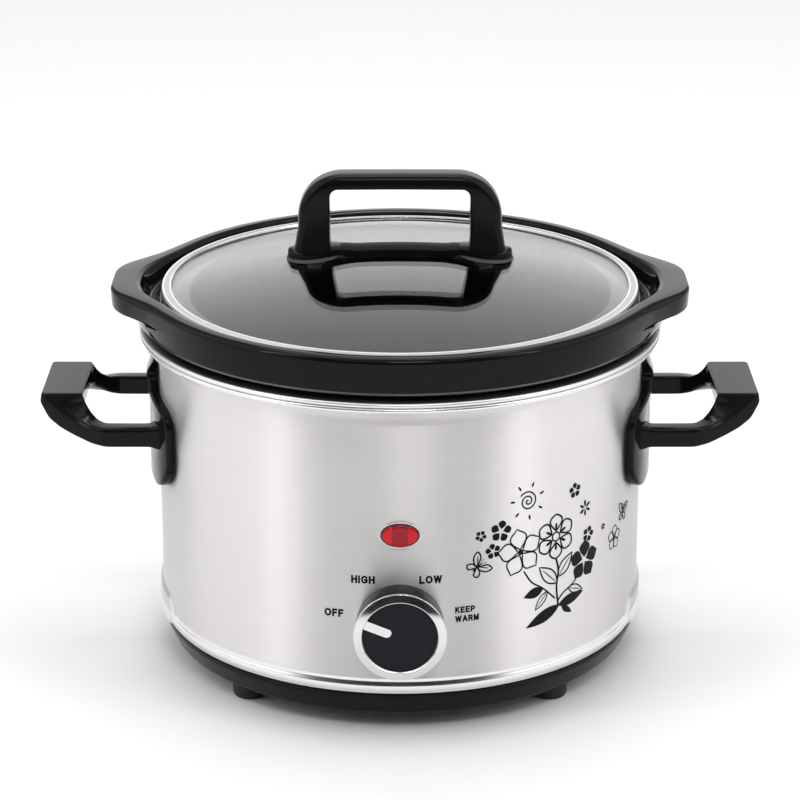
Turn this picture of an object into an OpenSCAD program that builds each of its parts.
// Round slow cooker: a steel base unit with a heating well, a lift-out crock and a glass lid.
// Millimetres. +Z is up, the front faces -Y, and the origin is on the pot's axis, on the
// plane that the feet stand on.

/* [Base unit] */
// Outer radius of the steel wall
shell_r = 123.5; // [121:0.5:126]
// Height of the rolled lip at the top of the steel wall
shell_top = 172; // [168:1:176]
// Outer radius of the rolled lip and of the well's flange
lip_r = 132; // [131:0.5:134]
// Height of the line where the steel wall meets the plastic base
base_top = 22; // [20:1:24]
// Thickness of the steel and aluminium sheet
sheet_t = 0.8; // [0.6:0.1:1]
// Height of the rubber feet
foot_h = 8; // [6:1:9]
// Radius of the circle that the feet stand on
foot_circle_r = 108; // [100:1:109]

/* [Crock] */
// Radius of the crock's lip
crock_lip_r = 130.5; // [129:0.5:131]
// Height of the top of the crock's lip
crock_top = 196; // [195:0.5:199]
// Thickness of the stoneware wall
crock_t = 7; // [6:0.5:8]
// Reach of the lifting ears from the pot's axis
ear_reach = 145.5; // [140:0.5:148]

/* [Lid] */
// Outer radius of the lid's steel rim
lid_r = 120; // [118:0.5:120]
// Thickness of the tempered glass
glass_t = 3.5; // [3:0.1:3.5]
// Height of the dome above the rim
dome_rise = 14; // [12:0.5:16]
// Height of the top of the lid handle
grip_top = 250; // [240:1:255]
// Outside width of the lid handle
grip_w = 102; // [98:1:106]

/* [Side handles] */
// Height of the middle of the handle's arms
arm_z = 125.5; // [124:0.5:127]
// Distance from the middle of the pot to each arm
arm_y = 39.4; // [37:0.2:40]
// Reach of the side handles from the pot's axis
handle_reach = 181; // [176:1:185]

/* [Controls] */
// Height of the knob's axis
knob_z = 60; // [58:1:61]
// Radius of the knob's bright ring
knob_r = 22.3; // [20:0.1:23]
// Distance of the knob's face from the pot's axis
knob_reach = 141.7; // [141:0.1:142.5]
// Angle of the OFF mark, anticlockwise from the right-hand side
off_angle = 157.5; // [150:0.5:165]
// Height of the indicator lamp
lamp_z = 106; // [104:1:108]
// Height of the cord gland in the back
gland_z = 40; // [39:1:42]
// Radius of the gland's cord hole
gland_bore_r = 3.7; // [3:0.1:4]

/* [Hidden] */
$fn = 96;

// Gap between resting or coaxial faces of neighbouring bodies
gap = 0.3;
// Small gap between the faces of pieces that are fastened together
touch = 0.05;

// Heating well: a straight neck, a cone below it and a flat floor
well_r = 114.2;
well_low_r = 96.2;
well_neck_z = 140;
well_low_z = 58;
well_floor = 46;
well_corner_r = 12;
flange_z = shell_top + 2.8;

// Crock: the same shape inside the well, with its lip above the flange
crock_gap = 2;
crock_floor = well_floor + gap;
lip_under = flange_z + 2.2;
ledge_z = crock_top - 5.4;
ledge_r = lid_r + 1.4;

// Lid: the rim stands on the crock's ledge, and the dome is part of a sphere
rim_z = ledge_z + gap;
rim_h = glass_t + 2;
rim_wall = 0.7;
dome_r = 118;
dome_edge_z = rim_z + rim_h - 1.15;
sphere_r = (dome_r * dome_r + dome_rise * dome_rise) / (2 * dome_rise);
grip_x = 43;
plate_t = 3.5;
under_glass = dome_edge_z + sqrt(pow(sphere_r, 2) - pow(grip_x + 6, 2))
    - sqrt(pow(sphere_r, 2) - pow(dome_r, 2)) - glass_t - 0.4;

// Inside the base unit: the heat shield, the heater band on the well's cone with its two
// straps and their screws, the thermal fuse and the terminal block
shield_z = 31;
band_low = 76;
band_high = 112;
band_t = 2;
strap_h = 6;
strap_off = band_t + 0.4;
strap_z = [band_low + 6, band_high - 12];
clamp_angle = -107.5;
lug_y = 5.8;
lug_t = 0.8;
lug_reach = 8;
clamp_screw_r = 1.5;
fuse_y = 42;
fuse_z = well_floor - sheet_t - 3;
block_y = 76;
block_z = foot_h + 2.85;

// Side handle
arm_h = 9;
arm_w = 8.8;
elbow_x = 149;
grip_z = arm_z + 17;
grip_len = 50;
grip_bar_w = 21;
grip_edge_t = 4;

// Controls
switch_front = 121.5;
bush_r = 4.6;
shaft_r = 3;
bush_end = 130;
lens_w = 9.6;
lens_h = 6.1;

// Middle of each foot, as an angle from the front or the back
foot_angles = [43, 137, 223, 317];

// Points of an arc in the plane of a section, from angle a0 to a1
function arc(cx, cy, r, a0, a1, n = 8) =
    [for (i = [0:n]) let (a = a0 + (a1 - a0) * i / n) [cx + r * cos(a), cy + r * sin(a)]];

// Points moved sideways from a path by t, to the left of its direction, and kept off the
// far side of the axis
function beside(p, t) =
    [for (i = [0:len(p) - 1])
        let (d = p[min(i + 1, len(p) - 1)] - p[max(i - 1, 0)], u = d / norm(d))
        [max(p[i][0] - t * u[1], 0), p[i][1] + t * u[0]]];

// Points of a curve from a to c that bends towards b
function bezier(a, b, c, n) =
    [for (i = [0:n]) let (t = i / n) (1 - t) * (1 - t) * a + 2 * t * (1 - t) * b + t * t * c];

function backwards(p) = [for (i = [len(p) - 1:-1:0]) p[i]];

// Height of the glass's upper face at radius r
function dome_z(r) = dome_edge_z + sqrt(pow(sphere_r, 2) - r * r) - sqrt(pow(sphere_r, 2) - pow(dome_r, 2));

// Radius of the well's inner face on its cone at height z
function cone_r(z) = well_low_r + (well_r - well_low_r) * (z - well_low_z) / (well_neck_z - well_low_z);

// A sheet of thickness t that follows a path, turned about the pot's axis
module turned_sheet(path, t) {
    rotate_extrude() polygon(concat(path, backwards(beside(path, t))));
}

// Children drawn looking at the front: local Y is up and local Z comes towards the viewer
module at_front(y, z) {
    translate([0, -y, z]) rotate([90, 0, 0]) children();
}

// Children drawn on the back, with local Z pointing away from the pot
module at_back(y, z) {
    translate([0, y, z]) rotate([-90, 0, 0]) children();
}

// Children placed with local Z along +X
module along_x(x, y, z) {
    translate([x, y, z]) rotate([0, 90, 0]) children();
}

module oval(rx, ry) {
    polygon([for (i = [0:39]) [rx * cos(9 * i), ry * sin(9 * i)]]);
}

module tube(r_out, r_in, h) {
    difference() {
        cylinder(r = r_out, h = h);
        translate([0, 0, -1]) cylinder(r = r_in, h = h + 2);
    }
}

// Steel wall with a cove and a rolled lip at the top, a bead at the bottom and a pressed
// pad on each side
module outer_shell() {
    pad_span = 42;
    pad_h = 16;
    outside = concat(
        [[shell_r - 1.2, base_top], [shell_r + 0.4, base_top + 0.8]],
        arc(shell_r - 3.4, base_top + 4, 4.4, -30, 30, 6),
        [[shell_r, base_top + 8]],
        arc(shell_r + 7, shell_top - 9, 7, 180, 95, 8),
        arc(lip_r - 1.2, shell_top - 1.2, 1.2, -70, 60, 6));
    color("silver") difference() {
        union() {
            turned_sheet(outside, sheet_t);
            for (side = [0, 180]) rotate([0, 0, side - pad_span / 2])
                rotate_extrude(angle = pad_span)
                    translate([shell_r - sheet_t / 2, base_top + 1]) square([sheet_t / 2 + 1.5, pad_h]);
        }
        at_front(shell_r + 5, knob_z) mirror([0, 0, 1]) cylinder(r = bush_r + 0.2, h = 15);
        at_front(shell_r + 5, lamp_z) mirror([0, 0, 1]) linear_extrude(15) oval(lens_w + 0.2, lens_h + 0.2);
        at_back(shell_r - 10, gland_z) cylinder(r = 7.2, h = 20);
        for (side = [-1, 1], y = [-arm_y, arm_y])
            along_x(side * shell_r - 10, y, arm_z) cylinder(r = 2.2, h = 20);
    }
}

// Aluminium liner that holds the crock, with a flange over the shell's lip
module heating_well() {
    inside = concat(
        [[lip_r, shell_top + 0.4]],
        arc(lip_r - 1, flange_z - 1, 1, 0, 90, 4),
        arc(well_r + 3, flange_z - 3, 3, 90, 180, 6),
        [[well_r, well_neck_z], [well_low_r, well_low_z]],
        arc(well_low_r - well_corner_r, well_floor + well_corner_r, well_corner_r, -12, -90, 8),
        [[0, well_floor]]);
    color("gainsboro") turned_sheet(inside, sheet_t);
}

// Moulded base with a rising edge, a ring that locates the wall, vents and foot holes
module base_pan() {
    section = [
        [0, foot_h], [116, foot_h], [118.4, foot_h + 1.2],
        [shell_r - 0.3, base_top - 1.6], [shell_r, base_top - 0.1],
        [shell_r - 2.1, base_top - 0.1], [shell_r - 2.1, base_top + 5],
        [shell_r - 4, base_top + 5], [shell_r - 4, foot_h + 5],
        [115, foot_h + 2.8], [0, foot_h + 2.8]
    ];
    color("#1a1a1c") difference() {
        rotate_extrude() polygon(section);
        translate([0, 0, foot_h - 1]) cylinder(r = 2.8, h = 6);
        for (a = foot_angles) rotate([0, 0, a - 90])
            translate([foot_circle_r, 0, foot_h - 1]) cylinder(r = 3.1, h = 6);
        for (a = [0:30:330]) rotate([0, 0, a + 15])
            translate([38, -1.5, foot_h - 1]) cube([22, 3, 6]);
    }
}

// Four push-in rubber feet
module feet() {
    section = concat(
        [[0, 0], [6, 0]],
        arc(6, 2.6, 2.6, -80, 0, 5),
        [[8, foot_h - 0.1], [3, foot_h - 0.1], [3, foot_h + 2.9], [4, foot_h + 3],
        [2, foot_h + 6], [0, foot_h + 6]]);
    color("#111111") for (a = foot_angles) rotate([0, 0, a - 90])
        translate([foot_circle_r, 0, 0]) rotate_extrude() polygon(section);
}

// Stud on the underside of the well that pulls the base unit together
module tie_stud() {
    color("silver") {
        translate([0, 0, foot_h - 6]) cylinder(r = 2.5, h = well_floor - sheet_t - touch - foot_h + 6);
        translate([0, 0, well_floor - sheet_t - touch - 1.6]) cylinder(r = 6, h = 1.6);
    }
}

module tie_washer() {
    color("silver") translate([0, 0, foot_h - 1.05]) tube(7, 2.7, 1);
}

module tie_nut() {
    color("silver") translate([0, 0, foot_h - 5.1]) difference() {
        cylinder(r = 4.6, h = 4, $fn = 6);
        translate([0, 0, -1]) cylinder(r = 2.55, h = 6);
    }
}

// Tubes on the stud, below and above the heat shield
module spacer_tubes() {
    low = foot_h + 2.85;
    high = shield_z + sheet_t + touch;
    color("silver") {
        translate([0, 0, low]) tube(5, 2.7, shield_z - touch - low);
        translate([0, 0, high]) tube(5, 2.7, well_floor - sheet_t - touch * 2 - 1.6 - high);
    }
}

// Reflector disc between the well and the base
module heat_shield() {
    path = [[92, shield_z + 4], [88, shield_z + sheet_t], [2.8, shield_z + sheet_t]];
    color("gainsboro") difference() {
        turned_sheet(path, sheet_t);
        translate([0, fuse_y + 16, shield_z - 1]) cylinder(r = 4, h = 5);
    }
}

// Section of a strip that lies on the well's cone, from height z0 to z1
module cone_strip(z0, z1, off, t) {
    polygon([
        [cone_r(z0) + sheet_t + off, z0], [cone_r(z0) + sheet_t + off + t, z0],
        [cone_r(z1) + sheet_t + off + t, z1], [cone_r(z1) + sheet_t + off, z1]
    ]);
}

// Wound heating element in its mica band, with a gap for the straps' screws
module heater_band() {
    color("peru") rotate([0, 0, clamp_angle + 6]) rotate_extrude(angle = 348)
        cone_strip(band_low, band_high, 0.2, band_t);
}

// Children at each strap's screw, with +X pointing out of the pot and the screw along Y
module at_clamps() {
    for (z = strap_z) rotate([0, 0, clamp_angle])
        translate([cone_r(z + strap_h / 2) + sheet_t + strap_off + 5.4, 0, z + strap_h / 2])
            rotate([-90, 0, 0]) children();
}

// Two steel straps that hold the band, each with a drilled lug at both ends
module band_clamps() {
    color("silver") difference() {
        for (z = strap_z) {
            rotate([0, 0, clamp_angle + 3]) rotate_extrude(angle = 354)
                cone_strip(z, z + strap_h, strap_off, 0.6);
            for (y = [lug_y + lug_t, -lug_y]) rotate([0, 0, clamp_angle]) translate([0, y, 0])
                rotate([90, 0, 0]) linear_extrude(lug_t)
                    cone_strip(z + 0.5, z + strap_h - 0.5, strap_off + 0.1, lug_reach);
        }
        at_clamps() cylinder(r = clamp_screw_r + 0.2, h = 20, center = true);
    }
}

// Screws that pull the straps' lugs together
module clamp_screws() {
    head_y = lug_y + lug_t + touch;
    color("dimgray") at_clamps() {
        translate([0, 0, head_y]) cylinder(r = 2.8, h = 2.2);
        translate([0, 0, -lug_y - 5]) cylinder(r = clamp_screw_r, h = head_y + lug_y + 6);
    }
}

module clamp_nuts() {
    nut_h = 2.4;
    color("silver") at_clamps() translate([0, 0, -lug_y - lug_t - touch - nut_h]) difference() {
        cylinder(r = 3, h = nut_h, $fn = 6);
        translate([0, 0, -1]) cylinder(r = clamp_screw_r + touch, h = nut_h + 2);
    }
}

// Glass-fibre blanket round the heater, open at the front
module insulation_blanket() {
    color("ivory") rotate([0, 0, -62]) rotate_extrude(angle = 304)
        cone_strip(band_low, band_high, band_t + 1.4, 4);
}

// Thermal fuse in its sleeve under the well's floor
module thermal_fuse() {
    color("white") along_x(-12, fuse_y, fuse_z) cylinder(r = 2.3, h = 24);
}

// Strap that presses the fuse against the well
module fuse_clip() {
    color("silver") difference() {
        translate([-3, fuse_y - 9, fuse_z - 3.2]) cube([6, 18, 6.1]);
        along_x(-5, fuse_y, fuse_z) cylinder(r = 2.4, h = 10);
        for (side = [-1, 1]) translate([-4, fuse_y + side * 7 - 3.6, fuse_z - 4]) cube([8, 7.2, 6.2]);
    }
}

// Four-position switch on the back of the wall, with a threaded bush through it
module rotary_switch() {
    color("saddlebrown") difference() {
        union() {
            translate([-13, -switch_front, knob_z - 13]) cube([26, 18, 26]);
            at_front(switch_front - 1, knob_z) cylinder(r = bush_r, h = bush_end - switch_front + 1);
        }
        at_front(switch_front - 14, knob_z) cylinder(r = shaft_r + 0.05, h = 30);
    }
}

// Blade terminals on the back of the switch
module switch_terminals() {
    color("goldenrod") for (x = [-8, 8], z = [-8, 8])
        translate([x - 0.4, -switch_front + 18.05, knob_z + (z < 0 ? -11 : -6) - 2]) cube([0.8, 6, 4]);
}

module switch_washer() {
    color("silver") at_front(shell_r + gap, knob_z) tube(8, bush_r + 0.15, 0.8);
}

module switch_nut() {
    color("silver") at_front(shell_r + 1.15, knob_z) difference() {
        cylinder(r = 7, h = 3, $fn = 6);
        translate([0, 0, -1]) cylinder(r = bush_r + 0.05, h = 5);
    }
}

// Red oval lens with a hollow back for the lamp
module indicator_lens() {
    color("red") at_front(shell_r - 9, lamp_z) difference() {
        union() {
            linear_extrude(10.6) oval(lens_w, lens_h);
            translate([0, 0, 10]) linear_extrude(1.4) oval(lens_w - 1.4, lens_h - 1.2);
        }
        translate([0, 0, -1]) linear_extrude(9.5) square([10, 7], center = true);
    }
}

module lens_bezel() {
    color("silver") at_front(shell_r + 0.05, lamp_z) linear_extrude(1) difference() {
        oval(lens_w + 0.9, lens_h + 0.9);
        oval(lens_w + 0.1, lens_h + 0.1);
    }
}

// Push-on clip that holds the lens from inside
module lens_clip() {
    color("silver") at_front(shell_r - 5, lamp_z) linear_extrude(0.8) difference() {
        oval(lens_w + 3, lens_h + 3);
        oval(lens_w + 0.1, lens_h + 0.1);
    }
}

module neon_lamp() {
    color("orange") at_front(shell_r - 10, lamp_z) {
        cylinder(r = 2.6, h = 7);
        translate([0, 0, 7]) sphere(r = 2.4);
    }
}

// Three-way terminal block on the floor of the base
module terminal_block() {
    color("white") difference() {
        translate([-17, block_y - 8, block_z]) cube([34, 16, 14]);
        for (x = [-11, 0, 11]) {
            translate([x, block_y, block_z + 6]) cylinder(r = 2.6, h = 10);
            translate([x, block_y - 9, block_z + 5]) rotate([-90, 0, 0]) cylinder(r = 2, h = 18);
        }
    }
}

module terminal_screws() {
    color("goldenrod") for (x = [-11, 0, 11]) translate([x, block_y, block_z + 8]) difference() {
        cylinder(r = 2.4, h = 4.5);
        translate([-3, -0.4, 3.5]) cube([6, 0.8, 2]);
    }
}

// A wire of radius r through the given points, with a ring of 8 corners at each point
module wire(points, r) {
    last = len(points) - 1;
    rings = [for (i = [0:last])
        let (d = points[min(i + 1, last)] - points[max(i - 1, 0)], n = d / norm(d),
            u = cross(n, [0.8, 0.1, 0.59]), e = u / norm(u), f = cross(n, e))
        for (k = [0:7]) points[i] + r * (cos(45 * k) * e + sin(45 * k) * f)];
    polyhedron(rings, concat(
        [[for (k = [0:7]) k]],
        [for (i = [0:last - 1], k = [0:7])
            [8 * i + k, 8 * i + 8 + k, 8 * i + 8 + (k + 1) % 8, 8 * i + (k + 1) % 8]],
        [[for (k = [7:-1:0]) 8 * last + k]]));
}

// Two leads forward from the block to the switch, and one to the thermal fuse
module internal_wires() {
    wire_z = block_z + 5;
    front_y = 96;
    color("firebrick") {
        for (side = [-1, 1]) wire([
            [side * 11, block_y - 8.2, wire_z], [side * 13, block_y - 16, wire_z],
            [side * 16, block_y - 24, wire_z], [side * 16, 10 - front_y, wire_z],
            [side * 13, 2 - front_y, wire_z + 4], [side * 9, -front_y, knob_z - 24],
            [side * 8, -front_y - 3, knob_z - 14]], 1.3);
        wire([[0, block_y - 8.2, wire_z], [0, fuse_y + 20, wire_z], [0, fuse_y + 16, wire_z + 4],
            [0, fuse_y + 16, fuse_z - 4], [-2, fuse_y + 15, fuse_z], [-10, fuse_y + 10, fuse_z],
            [-15, fuse_y + 4, fuse_z], [-15, fuse_y, fuse_z]], 1.3);
    }
}

// Earth blade under the shell's rear edge
module earth_tab() {
    color("goldenrod") translate([20, 104, foot_h + 2.85]) {
        cube([6.3, 0.8, 12]);
        cube([6.3, 8, 0.8]);
    }
}

// Outline of the plate that lies against the steel wall, seen from the side
module plate_outline() {
    half_w = 53;
    low = arm_z - 28;
    shoulder = arm_z + 15;
    top = arm_z + 37.5;
    polygon(concat(
        arc(half_w - 20, low + 20, 20, -90, 0),
        arc(half_w - 8, shoulder - 8, 8, 0, 90),
        [[24, shoulder + 2], [21, shoulder + 6], [28, top - 4], [26, top],
        [-26, top], [-28, top - 4], [-21, shoulder + 6], [-24, shoulder + 2]],
        arc(8 - half_w, shoulder - 8, 8, 90, 180),
        arc(20 - half_w, low + 20, 20, 180, 270)));
}

// Side view of the loop, as [x, z]: level arms that sweep up into the grip
module loop_profile() {
    low = arm_z - arm_h / 2;
    high = arm_z + arm_h / 2;
    inner = handle_reach - grip_bar_w;
    polygon(concat(
        [[110, low]],
        bezier([elbow_x - 2, low], [elbow_x + 20, low + 2], [handle_reach, grip_z - 6], 8),
        [[handle_reach, grip_z - 2], [handle_reach - 1.5, grip_z], [inner + 0.5, grip_z]],
        bezier([inner - 0.7, grip_z - 1], [inner - 3, high + 1], [elbow_x - 2, high], 6),
        [[110, high]]));
}

// Plan of the loop, as [x, y]: the arms draw in towards the ends of the grip
module loop_plan(half_y, end_x, end_y) {
    polygon([[100, -half_y], [elbow_x, -half_y], [end_x, -end_y],
        [end_x, end_y], [elbow_x, half_y], [100, half_y]]);
}

// Space over each sloping end of the grip, as a prism along X
module end_slopes() {
    slope = 0.9;
    level = arm_z + arm_h / 2 + 0.2;
    half = grip_len / 2;
    for (side = [-1, 1]) translate([elbow_x, 0, 0]) rotate([90, 0, 90]) linear_extrude(40)
        polygon([[side * half, grip_z], [side * half, grip_z + 9], [side * 60, grip_z + 9],
            [side * 60, level], [side * (half + (grip_z - level) / slope), level]]);
}

// Space under the grip, which leaves it thin at its outer edge
module under_grip() {
    inner = handle_reach - grip_bar_w;
    rotate([90, 0, 0]) linear_extrude(grip_len, center = true)
        polygon([[inner - 9, 100], [inner - 9, grip_z - 19], [inner, grip_z - 11.5],
            [handle_reach + 1, grip_z - grip_edge_t + 0.3], [handle_reach + 1, 100]]);
}

// Right-hand handle: a curved plate, two arms, and a grip that stands above them
module handle() {
    inner = handle_reach - grip_bar_w;
    out_y = arm_y + arm_w / 2;
    taper = (out_y - grip_len / 2 - 0.5) / (handle_reach - elbow_x);
    color("#161618") difference() {
        union() {
            intersection() {
                tube(shell_r + 5, shell_r + touch, arm_z + 60);
                along_x(60, 0, 0) linear_extrude(120) rotate(90) plate_outline();
            }
            intersection() {
                tube(shell_r + 7.5, shell_r + touch, arm_z + 60);
                translate([100, -22, arm_z + 8]) cube([60, 44, 30]);
            }
            difference() {
                intersection() {
                    rotate([90, 0, 0]) linear_extrude(100, center = true) loop_profile();
                    translate([0, 0, arm_z - 20]) linear_extrude(50)
                        loop_plan(out_y, handle_reach + 5, out_y - taper * (handle_reach + 5 - elbow_x));
                }
                translate([0, 0, arm_z - 25]) linear_extrude(60)
                    loop_plan(out_y - arm_w, inner, grip_len / 2);
                end_slopes();
                under_grip();
                translate([0, 0, arm_z - 25]) cylinder(r = shell_r + touch, h = 60);
            }
        }
        for (y = [-arm_y, arm_y]) along_x(shell_r - 12, y, arm_z) cylinder(r = 1.8, h = 26);
    }
}

module side_handle_right() {
    handle();
}

module side_handle_left() {
    mirror([1, 0, 0]) handle();
}

// Screws from inside the wall into the root of each arm
module handle_screws() {
    wall_x = sqrt(pow(shell_r - sheet_t, 2) - pow(arm_y + 4, 2));
    color("silver") for (side = [0, 180], y = [-arm_y, arm_y]) rotate([0, 0, side]) {
        along_x(wall_x - 2.2, y, arm_z) cylinder(r = 3.6, h = 2);
        along_x(wall_x - 0.3, y, arm_z) cylinder(r = 1.75, h = 16);
    }
}

// Moulded gland that the supply cord comes out of
module cord_gland() {
    color("#161618") difference() {
        union() {
            at_back(shell_r + gap, gland_z) cylinder(r = 11, h = 3);
            at_back(shell_r + gap + 3, gland_z) cylinder(r1 = 10, r2 = 7, h = 13.2);
            at_back(shell_r - 12, gland_z) cylinder(r = 7, h = 13);
        }
        at_back(shell_r - 14, gland_z) cylinder(r = gland_bore_r, h = 40);
    }
}

module gland_nut() {
    color("silver") at_back(shell_r - 6, gland_z) difference() {
        cylinder(r = 10.5, h = 3.5, $fn = 6);
        translate([0, 0, -1]) cylinder(r = 7.05, h = 6);
    }
}

// Seen from above, the outline of one lifting ear
module ear_outline(reach) {
    corner = 16.5;
    cx = reach - corner;
    polygon(concat(
        [[108, -44], [120.5, -49.5]],
        arc(cx, -14, corner, -60, 0),
        arc(cx, 14, corner, 0, 60),
        [[120.5, 49.5], [108, 44]]));
}

// Glazed stoneware pot with a deep lip, a ledge for the lid and two ears
module crock() {
    out_r = well_r - crock_gap;
    out_low_r = well_low_r - crock_gap;
    in_r = out_r - crock_t;
    in_low_r = out_low_r - crock_t;
    section = concat(
        [[0, crock_floor]],
        arc(out_low_r - 11, crock_floor + 11, 11, -90, -12, 6),
        [[out_r, well_neck_z], [out_r, lip_under - 6]],
        arc(out_r + 7, lip_under - 6, 6, 160, 95, 5),
        arc(crock_lip_r - 3, lip_under + 3, 3, -90, 0, 4),
        arc(crock_lip_r - 5, crock_top - 5, 5, 0, 90, 6),
        [[crock_lip_r - 6.5, crock_top - 0.2], [ledge_r + 0.8, crock_top - 2], [ledge_r, ledge_z],
        [in_r + 2, ledge_z]],
        arc(in_r + 2, ledge_z - 2, 2, 90, 180, 4),
        [[in_r, well_neck_z], [in_low_r, well_low_z + 4]],
        arc(in_low_r - 9, crock_floor + crock_t + 9, 9, -12, -90, 6),
        [[0, crock_floor + crock_t]]);
    color("#141416") difference() {
        union() {
            rotate_extrude() polygon(section);
            for (side = [0, 180]) rotate([0, 0, side]) difference() {
                union() {
                    translate([0, 0, crock_top - 11.5]) linear_extrude(10) ear_outline(ear_reach);
                    translate([0, 0, crock_top - 16]) linear_extrude(5) ear_outline(ear_reach - 7);
                }
                translate([0, 0, crock_top - 20]) cylinder(r = ledge_r + 3, h = 30);
            }
        }
        for (side = [-1, 1]) translate([side * (ledge_r - 18), 0, ledge_z]) cylinder(r = 27, h = 10);
    }
}

// Tempered glass dome
module lid_glass() {
    steps = 16;
    path = [for (i = [0:steps]) let (r = dome_r * (1 - i / steps)) [r, dome_z(r)]];
    color("lightgrey", 0.4) difference() {
        union() {
            turned_sheet(path, glass_t);
            translate([0, 0, dome_edge_z - glass_t]) tube(lid_r - 1, dome_r - 2, glass_t - touch);
        }
        for (x = [-grip_x, grip_x]) translate([x, 0, rim_z]) cylinder(r = 2.8, h = 40);
    }
}

// Rolled steel channel round the glass
module lid_rim() {
    inner = dome_r - 1.5;
    color("silver") translate([0, 0, rim_z]) rotate_extrude() polygon([
        [inner, 0], [lid_r - 0.6, 0], [lid_r, 0.8], [lid_r, rim_h - 0.8], [lid_r - 0.6, rim_h],
        [inner, rim_h], [inner, rim_h - rim_wall], [lid_r - rim_wall, rim_h - rim_wall],
        [lid_r - rim_wall, rim_wall], [inner, rim_wall]
    ]);
}

// One leg to the other over the top, seen from the front
module grip_outline(half_w, top, low, r) {
    polygon(concat(
        [[half_w, low]], arc(half_w - r, top - r, r, 0, 90), arc(r - half_w, top - r, r, 90, 180),
        [[-half_w, low]]));
}

// Loop handle on a bowed plate with a round pad under each leg
module lid_handle() {
    leg_w = 16;
    bar_t = 6;
    depth = 16.5;
    plate_z = dome_z(0) + 1;
    color("#161618") difference() {
        union() {
            at_front(-depth / 2, 0) linear_extrude(depth) difference() {
                grip_outline(grip_w / 2, grip_top, plate_z - 2, 19);
                grip_outline(grip_w / 2 - leg_w, grip_top - bar_t, plate_z - 10, 4);
            }
            translate([-grip_x, -9, plate_z - 4]) cube([2 * grip_x, 18, plate_t + 4]);
            for (x = [-grip_x, grip_x]) translate([x, 0, plate_z - 5]) cylinder(r = 14.5, h = plate_t + 3);
        }
        translate([0, 0, dome_z(0) - sphere_r + 1]) sphere(r = sphere_r, $fn = 400);
        for (x = [-grip_x, grip_x]) translate([x, 0, plate_z - 8]) cylinder(r = 1.8, h = 22);
    }
}

// Soft washers between the handle and the glass
module lid_gaskets() {
    color("dimgray") for (x = [-grip_x, grip_x]) intersection() {
        translate([x, 0, dome_z(grip_x) - 4]) tube(9, 2.8, 10);
        difference() {
            translate([0, 0, dome_z(0) - sphere_r + 0.9]) sphere(r = sphere_r, $fn = 400);
            translate([0, 0, dome_z(0) - sphere_r + 0.1]) sphere(r = sphere_r, $fn = 400);
        }
    }
}

module lid_washers() {
    color("silver") for (x = [-grip_x, grip_x]) translate([x, 0, under_glass - 1]) tube(6, 2.2, 1);
}

module lid_screws() {
    color("silver") for (x = [-grip_x, grip_x]) translate([x, 0, under_glass - 1.05]) {
        translate([0, 0, -2.4]) cylinder(r = 3.8, h = 2.4);
        translate([0, 0, -0.5]) cylinder(r = 1.75, h = 18);
    }
}

// Black body of the knob, hollow behind, with a hub on the switch's shaft
module knob_body() {
    back = shell_r + 1.2;
    front = knob_reach - 3.2;
    color("#161618") at_front(0, knob_z) difference() {
        rotate_extrude() polygon([
            [0, back + 7.5], [17, back + 6.5], [18.5, back], [knob_r - 2, back], [knob_r - 1, front],
            [0, front]
        ]);
        translate([0, 0, back]) cylinder(r = shaft_r + 0.02, h = knob_reach - 4.2 - back);
    }
}

// Bright ring and pointer, with the pointer on the OFF mark
module knob_bezel() {
    inner = 17.7;
    color("silver") at_front(knob_reach - 3.1, knob_z) {
        rotate_extrude() polygon([
            [inner, 0], [knob_r - 0.6, 0], [knob_r, 0.8], [knob_r, 2.2], [knob_r - 1.2, 3.1],
            [inner + 1.4, 3.1], [inner, 2]
        ]);
        rotate([0, 0, off_angle]) translate([0, 0, 1.6]) linear_extrude(1) {
            translate([5, -1.9]) square([inner - 4.5, 3.8]);
            translate([5, 0]) circle(r = 1.9);
        }
    }
}

// Black inlay inside the ring
module knob_face() {
    color("#0c0c0e") at_front(knob_reach - 3.1, knob_z) cylinder(r = 17.6, h = 1.55);
}

// Shaft from the switch to the knob, with a flat at the knob's end
module switch_shaft() {
    color("silver") at_front(switch_front - 12, knob_z) difference() {
        cylinder(r = shaft_r, h = knob_reach - 4.4 - switch_front + 12);
        translate([-4, 2, bush_end + 12.5 - switch_front]) cube([8, 4, 30]);
    }
}

// Spring leaf on the shaft's flat
module shaft_clip() {
    color("silver") at_front(bush_end + 1.2, knob_z) intersection() {
        cylinder(r = shaft_r - 0.02, h = 5);
        translate([-4, 2.05, -1]) cube([8, 4, 8]);
    }
}

outer_shell();
heating_well();
base_pan();
feet();
tie_stud();
tie_washer();
tie_nut();
spacer_tubes();
heat_shield();
heater_band();
band_clamps();
clamp_screws();
clamp_nuts();
insulation_blanket();
thermal_fuse();
fuse_clip();
rotary_switch();
switch_terminals();
switch_washer();
switch_nut();
indicator_lens();
lens_bezel();
lens_clip();
neon_lamp();
terminal_block();
terminal_screws();
internal_wires();
earth_tab();
side_handle_left();
side_handle_right();
handle_screws();
cord_gland();
gland_nut();
crock();
lid_glass();
lid_rim();
lid_handle();
lid_gaskets();
lid_washers();
lid_screws();
knob_body();
knob_bezel();
knob_face();
switch_shaft();
shaft_clip();
